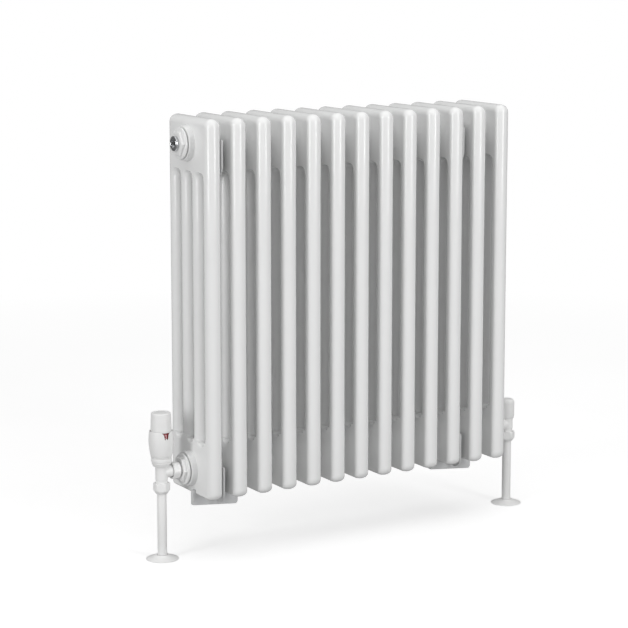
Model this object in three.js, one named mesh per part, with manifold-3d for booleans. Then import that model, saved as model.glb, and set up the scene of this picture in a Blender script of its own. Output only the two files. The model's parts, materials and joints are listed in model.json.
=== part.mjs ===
// A wall-hung column radiator: thirteen sections of four tubes, with a thermostatic valve on the left,
// a lockshield valve on the right, two riser pipes, and four wall brackets.
// Millimetres, +Z up. The front faces -Y, the wall is at +Y, and the floor is z = 0.
import * as THREE from "three";
import { mergeVertices } from "three/addons/utils/BufferGeometryUtils.js";
import Module from "manifold-3d";

const wasm = await Module();
wasm.setup();

// ---- Driving dimensions ----
const SECTION_COUNT = 13;
const SECTION_PITCH = 45;
const SECTION_HEIGHT = 600;
const COLUMN_COUNT = 4;
const COLUMN_PITCH = 38;
const TUBE_RADIUS = 12.5;
const TUBE_BORE_RADIUS = 11.9; // at the corners of its six-sided bore
const HEAD_HEIGHT = 84;
const HEAD_RADIUS = 12.7; // a head stands a little proud of its tubes
const HEAD_WALL = 1.7;
const CHAMBER_REACH = 12; // half the thickness of a head's water chamber
const HUB_FROM_END = 41;
const HUB_BASE_RADIUS = 29;
const HUB_FACE_RADIUS = 27.5;
const HUB_BORE_RADIUS = 16.3;
const FLOOR_TO_HEAD = 100;
const WALL_GAP = 34; // from the back of the heads to the wall
const VALVE_FROM_HUB = 40.5; // from a hub's face to a valve's vertical axis
const PIPE_RADIUS = 7.5;
const PIPE_WALL = 0.7;
const GAP = 0.3; // kept between pieces that touch
const SIDES = 16; // round a turned piece
const HIDDEN_SIDES = 12; // round a piece that is hidden inside

// ---- Places worked out from them ----
const FIRST_SECTION_X = (-(SECTION_COUNT - 1) / 2) * SECTION_PITCH;
const TUBE_SPAN = (COLUMN_COUNT - 1) * COLUMN_PITCH;
const OVERALL_DEPTH = TUBE_SPAN + 2 * HEAD_RADIUS + WALL_GAP;
const WALL_Y = OVERALL_DEPTH / 2;
const HUB_Y = -OVERALL_DEPTH / 2 + HEAD_RADIUS + TUBE_SPAN / 2;
const HUB_FACE = (SECTION_PITCH - GAP) / 2;
const LOW_HUB_Z = FLOOR_TO_HEAD + HUB_FROM_END;
const HIGH_HUB_Z = FLOOR_TO_HEAD + SECTION_HEIGHT - HUB_FROM_END;
const END_FACE_X = -FIRST_SECTION_X + HUB_FACE;
const VALVE_X = END_FACE_X + VALVE_FROM_HUB;

// ---- Finishes: colour, roughness, metalness ----
const FINISH = {
  bodyPaint: [0xe9eae9, 0.25, 0],
  valvePaint: [0xe6e6e5, 0.35, 0],
  whitePlastic: [0xececeb, 0.4, 0],
  chrome: [0xb9bbbd, 0.12, 1],
  brass: [0xb8934a, 0.3, 1],
  rubber: [0x949494, 0.8, 0],
  dialRed: [0x5e1018, 0.45, 0],
  bracketSteel: [0xb4b6b7, 0.45, 0.2],
  saddlePlastic: [0x9b9d9f, 0.6, 0],
};

const radiator = new THREE.Group();

// ---- Helpers ----

function material(finish) {
  const [color, roughness, metalness] = FINISH[finish];
  return new THREE.MeshStandardMaterial({ color, roughness, metalness });
}

// Adds a named piece to the radiator.
function place(name, geometry, finish, x = 0, y = 0, z = 0) {
  const mesh = new THREE.Mesh(geometry, material(finish));
  mesh.name = name;
  mesh.position.set(x, y, z);
  radiator.add(mesh);
}

// A shape turned round +Z from [radius, height] points, given counter-clockwise as seen with the axis
// on the left. It starts and ends on the axis, or else it is a ring and closes on itself.
function turned(points, sides = SIDES) {
  const profile = points.map(([r, z]) => new THREE.Vector2(r, z));
  if (points[0][0] > 0) profile.push(profile[0].clone());
  const lathe = new THREE.LatheGeometry(profile, sides, Math.PI / sides);
  return lathe.rotateX(Math.PI / 2);
}

// A plain round bar from one height to another.
function bar(radius, low, high, sides = SIDES) {
  return turned([[0, low], [radius, low], [radius, high], [0, high]], sides);
}

// A plain ring from one height to another.
function ring(inner, outer, low, high, sides = SIDES) {
  return turned([[inner, low], [outer, low], [outer, high], [inner, high]], sides);
}

// A flat outline of [u, v] points, extruded to a thickness that is centred on the outline.
function slab(points, thickness) {
  const shape = new THREE.Shape(points.map(([u, v]) => new THREE.Vector2(u, v)));
  const extrusion = new THREE.ExtrudeGeometry(shape, { depth: thickness, bevelEnabled: false });
  return extrusion.translate(0, 0, -thickness / 2);
}

// Points along an arc round a centre, from one angle to another in degrees.
function arc(u, v, radius, from, to, steps) {
  const points = [];
  for (let i = 0; i <= steps; i += 1) {
    const angle = THREE.MathUtils.degToRad(from + ((to - from) * i) / steps);
    points.push([u + radius * Math.cos(angle), v + radius * Math.sin(angle)]);
  }
  return points;
}

function solid(geometry) {
  const bare = geometry.index ? geometry.toNonIndexed() : geometry.clone();
  bare.deleteAttribute("normal");
  bare.deleteAttribute("uv");
  const merged = mergeVertices(bare, 1e-4);
  const vertProperties = new Float32Array(merged.attributes.position.array);
  const triVerts = new Uint32Array(merged.index.array);
  return new wasm.Manifold(new wasm.Mesh({ numProp: 3, vertProperties, triVerts }));
}

function geometryOf(manifold) {
  const made = manifold.getMesh();
  const geometry = new THREE.BufferGeometry();
  geometry.setAttribute("position", new THREE.BufferAttribute(made.vertProperties, 3));
  geometry.setIndex(new THREE.BufferAttribute(made.triVerts, 1));
  return geometry.toNonIndexed();
}

function joined(geometries) {
  return geometries.map(solid).reduce((whole, piece) => whole.add(piece));
}

// Joins the first list and cuts the second list out of it.
function built(parts, cuts = []) {
  const body = joined(parts);
  return geometryOf(cuts.length ? body.subtract(joined(cuts)) : body);
}

// Turns a fitting made along +Z so that it points out of the left (-1) or right (+1) end.
function pointOut(geometry, side) {
  return geometry.rotateY((side * Math.PI) / 2);
}

// ---- Sections ----

// A head: a block with half-round front and back ends and a rounded top, standing on z = 0.
function headBlock() {
  const domeEdge = THREE.MathUtils.degToRad(70); // the dome's top is flat from here on
  const sides = 12;
  const corner = HEAD_RADIUS / Math.cos(Math.PI / sides);
  const shoulder = HEAD_HEIGHT - HEAD_RADIUS * Math.sin(domeEdge);
  const dome = [domeEdge / 2, domeEdge].map((angle) => [
    corner * Math.cos(angle),
    shoulder + HEAD_RADIUS * Math.sin(angle),
  ]);
  const profile = [[0, 0], [corner, 0], [corner, shoulder], ...dome, [0, HEAD_HEIGHT]];
  const geometry = turned(profile, sides);
  const places = geometry.attributes.position;
  for (let i = 0; i < places.count; i += 1) {
    const y = places.getY(i);
    if (Math.abs(y) > 1e-3) places.setY(i, y + (Math.sign(y) * TUBE_SPAN) / 2);
  }
  return geometry;
}

// The two heads of a section, with their hub bosses.
function headOuters() {
  const outers = [];
  for (const upper of [false, true]) {
    const head = headBlock();
    if (upper) head.translate(0, 0, SECTION_HEIGHT - HEAD_HEIGHT);
    else head.rotateX(Math.PI).translate(0, 0, HEAD_HEIGHT);
    outers.push(head);
    const hubZ = upper ? SECTION_HEIGHT - HUB_FROM_END : HUB_FROM_END;
    for (const side of [-1, 1]) {
      const rise = [
        [0, HEAD_RADIUS - 1],
        [HUB_BASE_RADIUS, HEAD_RADIUS - 1],
        [HUB_FACE_RADIUS, HUB_FACE],
        [0, HUB_FACE],
      ];
      outers.push(pointOut(turned(rise, 12), side).translate(0, 0, hubZ));
    }
  }
  return outers;
}

// The waterway inside a section: a chamber in each head, the bores of the tubes and the hub bores.
function waterway() {
  const chamberLow = 10.5;
  const chamberHeight = HEAD_HEIGHT - HEAD_WALL - chamberLow;
  const chamberMiddle = chamberLow + chamberHeight / 2;
  const chamberSize = [2 * CHAMBER_REACH, TUBE_SPAN + 2 * CHAMBER_REACH, chamberHeight];
  const cuts = [];
  for (const middle of [chamberMiddle, SECTION_HEIGHT - chamberMiddle]) {
    cuts.push(new THREE.BoxGeometry(...chamberSize).translate(0, 0, middle));
  }
  for (const hubZ of [HUB_FROM_END, SECTION_HEIGHT - HUB_FROM_END]) {
    const bore = bar(HUB_BORE_RADIUS, -HUB_FACE - 1, HUB_FACE + 1, 8);
    cuts.push(pointOut(bore, 1).translate(0, 0, hubZ));
  }
  const boreLow = HEAD_HEIGHT - 2 * HEAD_WALL;
  for (let i = 0; i < COLUMN_COUNT; i += 1) {
    const bore = bar(TUBE_BORE_RADIUS, boreLow, SECTION_HEIGHT - boreLow, 6);
    cuts.push(bore.translate(0, i * COLUMN_PITCH - TUBE_SPAN / 2, 0));
  }
  return cuts;
}

// One section, hub axes at y = 0, standing on z = 0: two heads joined by the tubes, hollow all through.
function sectionGeometry() {
  const sides = 12;
  const corner = TUBE_RADIUS / Math.cos(Math.PI / sides);
  const outers = headOuters();
  for (let i = 0; i < COLUMN_COUNT; i += 1) {
    const tube = bar(corner, HEAD_HEIGHT - 10, SECTION_HEIGHT - HEAD_HEIGHT + 10, sides);
    outers.push(tube.translate(0, i * COLUMN_PITCH - TUBE_SPAN / 2, 0));
  }
  return built(outers, waterway());
}

function addSections() {
  const geometry = sectionGeometry();
  for (let i = 0; i < SECTION_COUNT; i += 1) {
    const name = `section_${String(i + 1).padStart(2, "0")}`;
    const x = FIRST_SECTION_X + i * SECTION_PITCH;
    place(name, geometry, "bodyPaint", x, HUB_Y, FLOOR_TO_HEAD);
  }
}

// ---- Bushes, gaskets, air vent and blanking plug: made along +Z from the hub's face ----

const GASKET_TOP = GAP + 1;
const FLANGE_LOW = GASKET_TOP + GAP;
const FLANGE_TOP = FLANGE_LOW + 3;
const HEXAGON_TOP = FLANGE_TOP + 5;
const BUSH_BORE_RADIUS = 10;
const BUSH_SPIGOT_RADIUS = 14.6;
const PLUG_SPIGOT_RADIUS = 9.3;
const PLUG_DISC_RADIUS = 11.8;
const VENT_BORE_RADIUS = 4.4;
const VENT_RECESS_RADIUS = 6.5;

function bushGeometry() {
  const flange = turned([
    [0, -13],
    [BUSH_SPIGOT_RADIUS, -13],
    [BUSH_SPIGOT_RADIUS, FLANGE_LOW],
    [25, FLANGE_LOW],
    [25, FLANGE_TOP - 1],
    [24, FLANGE_TOP],
    [0, FLANGE_TOP],
  ]);
  const hexagon = bar(20.8, FLANGE_LOW, HEXAGON_TOP, 6).rotateZ(Math.PI / 6);
  const bore = bar(BUSH_BORE_RADIUS, -14, HEXAGON_TOP + 1, HIDDEN_SIDES);
  return built([flange, hexagon], [bore]);
}

function ventBodyGeometry() {
  return turned([
    [VENT_BORE_RADIUS, -2],
    [PLUG_SPIGOT_RADIUS, -2],
    [PLUG_SPIGOT_RADIUS, HEXAGON_TOP + GAP],
    [PLUG_DISC_RADIUS, HEXAGON_TOP + GAP],
    [PLUG_DISC_RADIUS, HEXAGON_TOP + 4.2],
    [PLUG_DISC_RADIUS - 0.8, HEXAGON_TOP + 5],
    [VENT_RECESS_RADIUS, HEXAGON_TOP + 5],
    [VENT_RECESS_RADIUS, HEXAGON_TOP + 2.6],
    [VENT_BORE_RADIUS, HEXAGON_TOP + 2.6],
  ]);
}

function bleedScrewGeometry() {
  const shank = bar(4, 1, HEXAGON_TOP + 2.4, 12);
  const square = bar(3.6, 2, HEXAGON_TOP + 4.8, 4);
  return built([shank, square]);
}

function blankingPlugGeometry() {
  const plug = turned([
    [0, -2],
    [PLUG_SPIGOT_RADIUS, -2],
    [PLUG_SPIGOT_RADIUS, HEXAGON_TOP + GAP],
    [PLUG_DISC_RADIUS, HEXAGON_TOP + GAP],
    [PLUG_DISC_RADIUS, HEXAGON_TOP + 4.2],
    [0, HEXAGON_TOP + 4.2],
  ]);
  const socket = bar(6.9, HEXAGON_TOP - 3, HEXAGON_TOP + 6, 6);
  return built([plug], [socket]);
}

function addEndFittings() {
  for (const [end, side] of [["left", -1], ["right", 1]]) {
    for (const [level, hubZ] of [["top", HIGH_HUB_Z], ["bottom", LOW_HUB_Z]]) {
      const at = [side * END_FACE_X, HUB_Y, hubZ];
      const gasket = pointOut(ring(17, 24, GAP, GASKET_TOP, HIDDEN_SIDES), side);
      place(`gasket_${level}_${end}`, gasket, "rubber", ...at);
      place(`bush_${level}_${end}`, pointOut(bushGeometry(), side), "bodyPaint", ...at);
    }
  }
  const left = [-END_FACE_X, HUB_Y, HIGH_HUB_Z];
  place("air_vent_body", pointOut(ventBodyGeometry(), -1), "chrome", ...left);
  place("bleed_screw", pointOut(bleedScrewGeometry(), -1), "chrome", ...left);
  const plug = pointOut(blankingPlugGeometry(), 1);
  place("blanking_plug", plug, "chrome", END_FACE_X, HUB_Y, HIGH_HUB_Z);
}

// ---- Valve unions: tailpiece and union nut, made along +Z from the hub's face ----

const NUT_LOW = HEXAGON_TOP + 2;
const NUT_TOP = NUT_LOW + 12.6;
const COLLAR_LOW = NUT_LOW + 3.1;
const COLLAR_TOP = COLLAR_LOW + 3;
const ARM_END = COLLAR_TOP + GAP;
const UNION_BORE_RADIUS = 6;
const UNION_TUBE_RADIUS = 7.9;
const UNION_COLLAR_RADIUS = 9.6;
const UNION_NUT_RADIUS = 14.2;

function tailpieceGeometry() {
  return turned([
    [UNION_BORE_RADIUS, -6],
    [PLUG_SPIGOT_RADIUS, -6],
    [PLUG_SPIGOT_RADIUS, HEXAGON_TOP - 0.5],
    [UNION_TUBE_RADIUS, HEXAGON_TOP - 0.5],
    [UNION_TUBE_RADIUS, COLLAR_LOW],
    [UNION_COLLAR_RADIUS, COLLAR_LOW],
    [UNION_COLLAR_RADIUS, COLLAR_TOP],
    [UNION_BORE_RADIUS, COLLAR_TOP],
  ], HIDDEN_SIDES);
}

function unionNutGeometry() {
  const hexagon = solid(bar(UNION_NUT_RADIUS + 0.4, NUT_LOW, NUT_TOP, 6));
  const round = turned([
    [0, NUT_LOW],
    [UNION_NUT_RADIUS - 1.2, NUT_LOW],
    [UNION_NUT_RADIUS, NUT_LOW + 1.2],
    [UNION_NUT_RADIUS, NUT_TOP - 1.2],
    [UNION_NUT_RADIUS - 1.2, NUT_TOP],
    [0, NUT_TOP],
  ]);
  const thread = bar(UNION_COLLAR_RADIUS + 1, COLLAR_LOW - GAP, NUT_TOP + 1);
  const lip = bar(UNION_TUBE_RADIUS + 0.5, NUT_LOW - 1, COLLAR_LOW + 1);
  return geometryOf(hexagon.intersect(solid(round)).subtract(joined([thread, lip])));
}

// ---- Valve bodies: z = 0 is the hub's axis, the vertical axis is x = y = 0, the arm points to +X ----

const SHOULDER_Z = 9.7; // where the head or cap rests on the body
const COLLAR_TOP_Z = 17;
const SEAT_Z = -8;
const COMPRESSION_NUT_HEIGHT = 17;
const ARM_LENGTH = VALVE_FROM_HUB - ARM_END;

function valveBodyGeometry(footZ) {
  const barrel = turned([
    [0, footZ],
    [9.2, footZ],
    [9.2, footZ + 14],
    [9.9, footZ + 15],
    [9.9, SHOULDER_Z],
    [8.5, SHOULDER_Z],
    [8.5, COLLAR_TOP_Z],
    [0, COLLAR_TOP_Z],
  ]);
  const arm = bar(UNION_COLLAR_RADIUS, 0, ARM_LENGTH).rotateY(Math.PI / 2);
  const pipeSocket = bar(7.85, footZ - 1, SEAT_Z - 4);
  const seatBore = bar(4.5, footZ, SEAT_Z + 1, 12);
  const chamber = bar(7.6, SEAT_Z, COLLAR_TOP_Z + 1);
  const armBore = bar(UNION_BORE_RADIUS, 0, ARM_LENGTH + 1, 12).rotateY(Math.PI / 2);
  return built([barrel, arm], [pipeSocket, seatBore, chamber, armBore]);
}

function compressionNutGeometry(topZ) {
  const footZ = topZ - COMPRESSION_NUT_HEIGHT;
  const hexagon = solid(bar(13.8, footZ, topZ, 6));
  const round = turned([
    [0, footZ],
    [9.6, footZ],
    [12.9, topZ - 12.5],
    [12.9, topZ - 0.6],
    [12.3, topZ],
    [0, topZ],
  ]);
  const bore = bar(7.9, footZ - 1, topZ - 8);
  const thread = bar(9.7, topZ - 13, topZ + 1);
  return geometryOf(hexagon.intersect(solid(round)).subtract(joined([bore, thread])));
}

function oliveGeometry(lowZ) {
  return turned([[8, lowZ], [9.1, lowZ + 1.7], [8, lowZ + 3.4]], HIDDEN_SIDES);
}

// ---- Pieces that both valves have ----

const FLOOR_Z = -LOW_HUB_Z;
const FLOOR_PLATE_RADIUS = 26;
const FLOOR_PLATE_HOLE_RADIUS = 8.1;
const FLOOR_PLATE_SIDES = 20;

function addValveBase(prefix, end, side, footZ) {
  const at = [side * VALVE_X, HUB_Y, LOW_HUB_Z];
  const hub = [side * END_FACE_X, HUB_Y, LOW_HUB_Z];
  const body = valveBodyGeometry(footZ);
  if (side > 0) body.rotateZ(Math.PI);
  place(`${prefix}_tailpiece`, pointOut(tailpieceGeometry(), side), "valvePaint", ...hub);
  place(`${prefix}_union_nut`, pointOut(unionNutGeometry(), side), "valvePaint", ...hub);
  place(`${prefix}_body`, body, "valvePaint", ...at);
  place(`${prefix}_compression_nut`, compressionNutGeometry(footZ + 9), "valvePaint", ...at);
  place(`${prefix}_olive`, oliveGeometry(footZ - 3.7), "brass", ...at);
  const pipe = ring(PIPE_RADIUS - PIPE_WALL, PIPE_RADIUS, FLOOR_Z, SEAT_Z - 5);
  place(`pipe_${end}`, pipe, "valvePaint", ...at);
  const plate = turned([
    [FLOOR_PLATE_HOLE_RADIUS, 0],
    [FLOOR_PLATE_RADIUS, 0],
    [FLOOR_PLATE_RADIUS, 1.2],
    [12, 5.4],
    [11, 6.6],
    [FLOOR_PLATE_HOLE_RADIUS, 6.6],
  ], FLOOR_PLATE_SIDES);
  place(`floor_plate_${end}`, plate, "valvePaint", at[0], at[1], 0);
}

// ---- Thermostatic valve ----

const HEAD_FOOT_Z = SHOULDER_Z + GAP;
const COLLAR_NUT_TOP_Z = 26;
const HOUSING_LOW_Z = COLLAR_NUT_TOP_Z + GAP;
const RIM_Z = 67;
const DRUM_LOW_Z = 54;
const DRUM_TOP_Z = 65;
const CAP_LOW_Z = DRUM_TOP_Z + GAP;
const CAP_TOP_Z = 96;
const PIN_TOP_Z = 23;

function collarNutGeometry() {
  return turned([
    [8.9, HEAD_FOOT_Z],
    [13.6, HEAD_FOOT_Z],
    [15.6, HEAD_FOOT_Z + 5],
    [15.2, HEAD_FOOT_Z + 7.4],
    [16.4, HEAD_FOOT_Z + 8.4],
    [16, HEAD_FOOT_Z + 13.4],
    [16.6, HEAD_FOOT_Z + 14.4],
    [16.6, COLLAR_NUT_TOP_Z],
    [11, COLLAR_NUT_TOP_Z],
    [11, COLLAR_TOP_Z + 4],
    [8.9, COLLAR_TOP_Z + 1],
  ]);
}

function housingGeometry() {
  const shell = turned([
    [11, HOUSING_LOW_Z],
    [16.9, HOUSING_LOW_Z],
    [18.2, HOUSING_LOW_Z + 8],
    [20, HOUSING_LOW_Z + 25],
    [18.8, RIM_Z],
    [17.6, RIM_Z],
    [17.6, DRUM_LOW_Z - 4],
    [15, HOUSING_LOW_Z + 2],
    [11, HOUSING_LOW_Z + 2],
  ]);
  const notch = [
    [-2.6, DRUM_LOW_Z + 1],
    [2.6, DRUM_LOW_Z + 1],
    [5.2, RIM_Z - 5],
    [6.6, RIM_Z + 1],
    [-6.6, RIM_Z + 1],
    [-5.2, RIM_Z - 5],
  ];
  const window = slab(notch, 12).rotateX(Math.PI / 2).translate(0, -19, 0);
  return built([shell], [window]);
}

function dialCapGeometry() {
  return turned([
    [14.4, CAP_LOW_Z],
    [16.6, CAP_LOW_Z],
    [15.8, CAP_TOP_Z - 1.6],
    [14, CAP_TOP_Z],
    [0, CAP_TOP_Z],
    [0, CAP_TOP_Z - 2.4],
    [13.6, CAP_TOP_Z - 2.4],
  ]);
}

function addThermostaticValve() {
  addValveBase("trv", "left", -1, -26.5);
  const at = [-VALVE_X, HUB_Y, LOW_HUB_Z];
  const insert = [
    [1.9, 6.4],
    [7.1, 6.4],
    [7.1, COLLAR_TOP_Z + GAP],
    [8.2, COLLAR_TOP_Z + GAP],
    [8.2, COLLAR_TOP_Z + 2],
    [1.9, COLLAR_TOP_Z + 2],
  ];
  const pin = [
    [0, SEAT_Z + 1.6],
    [6.2, SEAT_Z + 1.6],
    [6.2, SEAT_Z + 4.4],
    [1.5, SEAT_Z + 4.4],
    [1.5, PIN_TOP_Z],
    [0, PIN_TOP_Z],
  ];
  const sensor = [
    [0, PIN_TOP_Z + GAP],
    [4, PIN_TOP_Z + GAP],
    [9, 29],
    [9, 50],
    [5, 52],
    [5, 60],
    [0, 60],
  ];
  place("trv_insert", turned(insert, HIDDEN_SIDES), "brass", ...at);
  place("trv_pin", turned(pin, HIDDEN_SIDES), "brass", ...at);
  place("trv_sensor", turned(sensor, HIDDEN_SIDES), "brass", ...at);
  place("trv_collar_nut", collarNutGeometry(), "whitePlastic", ...at);
  place("trv_housing", housingGeometry(), "whitePlastic", ...at);
  place("trv_number_drum", ring(14.8, 16.5, DRUM_LOW_Z, DRUM_TOP_Z), "dialRed", ...at);
  place("trv_dial_cap", dialCapGeometry(), "whitePlastic", ...at);
}

// ---- Lockshield valve ----

const PLUG_TOP_Z = SEAT_Z + 7;
const SQUARE_LOW_Z = 22;
const SHIELD_TOP_Z = 44;

function addLockshieldValve() {
  addValveBase("lockshield", "right", 1, -22.5);
  const at = [VALVE_X, HUB_Y, LOW_HUB_Z];
  const gland = [
    [3.3, 6.4],
    [7.1, 6.4],
    [7.1, COLLAR_TOP_Z + GAP],
    [8.2, COLLAR_TOP_Z + GAP],
    [8.2, COLLAR_TOP_Z + 4],
    [3.3, COLLAR_TOP_Z + 4],
  ];
  const closingPlug = [
    [0, SEAT_Z + 1.8],
    [5.4, SEAT_Z + 1.8],
    [6.2, SEAT_Z + 3],
    [6.2, PLUG_TOP_Z],
    [0, PLUG_TOP_Z],
  ];
  const stem = bar(2.9, PLUG_TOP_Z + GAP, SQUARE_LOW_Z + 1, HIDDEN_SIDES);
  const square = bar(2.8, SQUARE_LOW_Z, SQUARE_LOW_Z + 7, 4);
  const cap = [
    [8.9, HEAD_FOOT_Z],
    [11.4, HEAD_FOOT_Z],
    [12.3, HEAD_FOOT_Z + 3.5],
    [12.3, SHIELD_TOP_Z - 6],
    [10.4, SHIELD_TOP_Z - 1.8],
    [6, SHIELD_TOP_Z],
    [0, SHIELD_TOP_Z],
    [0, SHIELD_TOP_Z - 2.4],
    [10.2, SHIELD_TOP_Z - 6],
    [10.2, COLLAR_TOP_Z],
    [8.9, COLLAR_TOP_Z - 1.5],
  ];
  place("lockshield_gland", turned(gland, HIDDEN_SIDES), "brass", ...at);
  place("lockshield_plug", turned(closingPlug, HIDDEN_SIDES), "brass", ...at);
  place("lockshield_spindle", built([stem, square]), "brass", ...at);
  place("lockshield_cap", turned(cap), "whitePlastic", ...at);
}

// ---- Wall brackets: a cradle plate between two sections, hub axis at y = z = 0, bent to a wall flange ----

const CRADLE_THICKNESS = 3;
const CRADLE_FRONT = -49.5;
const CRADLE_TOP = 6.5;
const CRADLE_BOTTOM = -52;
const CRADLE_CORNER = 17;
const NOTCH_RADIUS = HUB_BASE_RADIUS + 0.8;
const WALL_FLANGE_WIDTH = 32;
const WALL_FLANGE_LOW = -44;
const WALL_FLANGE_TOP = 22;
const SCREW_HOLE_RADIUS = 4.25;
const SADDLE_WIDTH = 80;
const SADDLE_FRONT = -20;
const SADDLE_THICKNESS = 8;

function bracketGeometry() {
  const back = WALL_Y - HUB_Y;
  const outline = [
    [back, CRADLE_TOP],
    ...arc(0, 0, NOTCH_RADIUS, 12, -192, 8),
    [CRADLE_FRONT + 2, CRADLE_TOP],
    [CRADLE_FRONT, CRADLE_TOP - 2],
    ...arc(CRADLE_FRONT + CRADLE_CORNER, CRADLE_BOTTOM + CRADLE_CORNER, CRADLE_CORNER, 180, 270, 4),
    [back, WALL_FLANGE_LOW],
  ];
  const cradle = slab(outline, CRADLE_THICKNESS).rotateX(Math.PI / 2).rotateZ(Math.PI / 2);
  const flangeHeight = WALL_FLANGE_TOP - WALL_FLANGE_LOW;
  const flange = new THREE.BoxGeometry(WALL_FLANGE_WIDTH, CRADLE_THICKNESS, flangeHeight);
  const flangeX = (WALL_FLANGE_WIDTH - CRADLE_THICKNESS) / 2;
  flange.translate(flangeX, back - CRADLE_THICKNESS / 2, (WALL_FLANGE_TOP + WALL_FLANGE_LOW) / 2);
  const holes = [];
  for (const z of [WALL_FLANGE_LOW + 12, WALL_FLANGE_TOP - 12]) {
    const hole = bar(SCREW_HOLE_RADIUS, -10, 10, 16).rotateX(Math.PI / 2);
    holes.push(hole.translate(flangeX + 2, back, z));
  }
  return built([cradle, flange], holes);
}

// A saddle under the bottom heads of two neighbouring sections, z = 0 at the heads' underside.
// Its own underside slopes down to the right.
function saddleGeometry() {
  const half = SADDLE_WIDTH / 2;
  const reach = SECTION_PITCH / 2;
  const notchRadius = HEAD_RADIUS + 1.1;
  const rim = 10;
  const leftFoot = -15;
  const rightFoot = -22;
  const drop = 30;
  const outline = [
    [-half, rim],
    [-half, leftFoot],
    [half - 5, rightFoot],
    [half - 1.5, rightFoot + 1.5],
    [half, rightFoot + 5],
    [half, rim],
    ...arc(reach, HEAD_RADIUS, notchRadius, -12, -168, 8),
    ...arc(-reach, HEAD_RADIUS, notchRadius, -12, -168, 8),
  ];
  const block = slab(outline, SADDLE_THICKNESS).rotateX(Math.PI / 2);
  const slotFoot = LOW_HUB_Z + CRADLE_BOTTOM - FLOOR_TO_HEAD - GAP;
  const slot = new THREE.BoxGeometry(CRADLE_THICKNESS + 2 * GAP, 20, drop);
  slot.translate(0, 0, slotFoot + drop / 2);
  return built([block], [slot]);
}

function addBrackets() {
  const places = [["left", 1], ["right", SECTION_COUNT - 2]];
  for (const [end, sectionsBefore] of places) {
    const x = FIRST_SECTION_X + (sectionsBefore - 0.5) * SECTION_PITCH;
    place(`bracket_upper_${end}`, bracketGeometry(), "bracketSteel", x, HUB_Y, HIGH_HUB_Z);
    place(`bracket_lower_${end}`, bracketGeometry(), "bracketSteel", x, HUB_Y, LOW_HUB_Z);
    const saddleY = HUB_Y + SADDLE_FRONT + SADDLE_THICKNESS / 2;
    place(`saddle_${end}`, saddleGeometry(), "saddlePlastic", x, saddleY, FLOOR_TO_HEAD);
  }
}

addSections();
addEndFittings();
addThermostaticValve();
addLockshieldValve();
addBrackets();

export default radiator;
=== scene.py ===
"""A wall-hung column radiator with its valves, pipes and brackets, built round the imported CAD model.

Shapes are made in millimetres, and become metres when a piece is made from them.
A shape is a pair of lists: points, and faces as tuples of point numbers.
"""

import json
import math

import bmesh
import bpy
from mathutils import Matrix, Vector
from mathutils.geometry import tessellate_polygon

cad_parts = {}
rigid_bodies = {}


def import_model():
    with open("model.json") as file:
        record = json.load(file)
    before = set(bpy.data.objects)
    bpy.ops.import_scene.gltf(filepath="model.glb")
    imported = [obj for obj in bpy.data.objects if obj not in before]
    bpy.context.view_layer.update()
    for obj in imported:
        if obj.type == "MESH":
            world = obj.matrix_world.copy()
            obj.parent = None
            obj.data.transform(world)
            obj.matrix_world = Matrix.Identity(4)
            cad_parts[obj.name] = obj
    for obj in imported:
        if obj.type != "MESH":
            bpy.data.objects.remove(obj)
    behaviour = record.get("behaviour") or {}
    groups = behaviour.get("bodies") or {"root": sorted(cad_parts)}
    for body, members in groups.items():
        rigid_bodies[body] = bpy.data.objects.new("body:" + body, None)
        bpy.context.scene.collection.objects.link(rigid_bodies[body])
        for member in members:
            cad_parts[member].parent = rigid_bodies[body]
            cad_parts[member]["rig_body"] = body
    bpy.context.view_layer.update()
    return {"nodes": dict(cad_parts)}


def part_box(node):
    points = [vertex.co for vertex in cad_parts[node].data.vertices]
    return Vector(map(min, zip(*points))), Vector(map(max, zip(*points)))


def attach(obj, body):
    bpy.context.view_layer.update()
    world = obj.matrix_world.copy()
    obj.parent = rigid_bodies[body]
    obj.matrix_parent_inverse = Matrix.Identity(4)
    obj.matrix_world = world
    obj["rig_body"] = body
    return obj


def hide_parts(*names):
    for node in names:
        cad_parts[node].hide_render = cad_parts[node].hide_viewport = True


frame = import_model()

MM = 0.001
SIDES = 96  # round a turned piece, a multiple of 12 so that a hexagon's corners are met
SECTION_COUNT = 13
ENDS = (("left", -1), ("right", 1))
LEVELS = ("top", "bottom")


# ---- Camera ----

CAMERA_PLACE = (-1.7846, -2.9711, 0.9874)
CAMERA_AZIMUTH = 30.358  # degrees to the right of +Y
CAMERA_PITCH = 8.569  # degrees below the horizon
CAMERA_LENS = 122.64
CAMERA_SENSOR = 36
CAMERA_SHIFT = -0.1


def add_camera():
    data = bpy.data.cameras.new("camera")
    data.sensor_width = CAMERA_SENSOR
    data.lens = CAMERA_LENS
    data.shift_y = CAMERA_SHIFT
    camera = bpy.data.objects.new("camera", data)
    camera.location = CAMERA_PLACE
    tilt = math.radians(90 - CAMERA_PITCH)
    camera.rotation_euler = (tilt, 0, math.radians(-CAMERA_AZIMUTH))
    bpy.context.scene.collection.objects.link(camera)
    bpy.context.scene.camera = camera


# ---- Materials ----


def new_material(name, colour, roughness, metallic=0.0, specular=0.5):
    """A principled material whose plain values sit on the shader's own sockets."""
    material = bpy.data.materials.new(name)
    material.use_nodes = True
    shader = material.node_tree.nodes["Principled BSDF"]
    shader.inputs["Base Color"].default_value = (*colour, 1)
    shader.inputs["Roughness"].default_value = roughness
    shader.inputs["Metallic"].default_value = metallic
    shader.inputs["Specular IOR Level"].default_value = specular
    return material, shader


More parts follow.
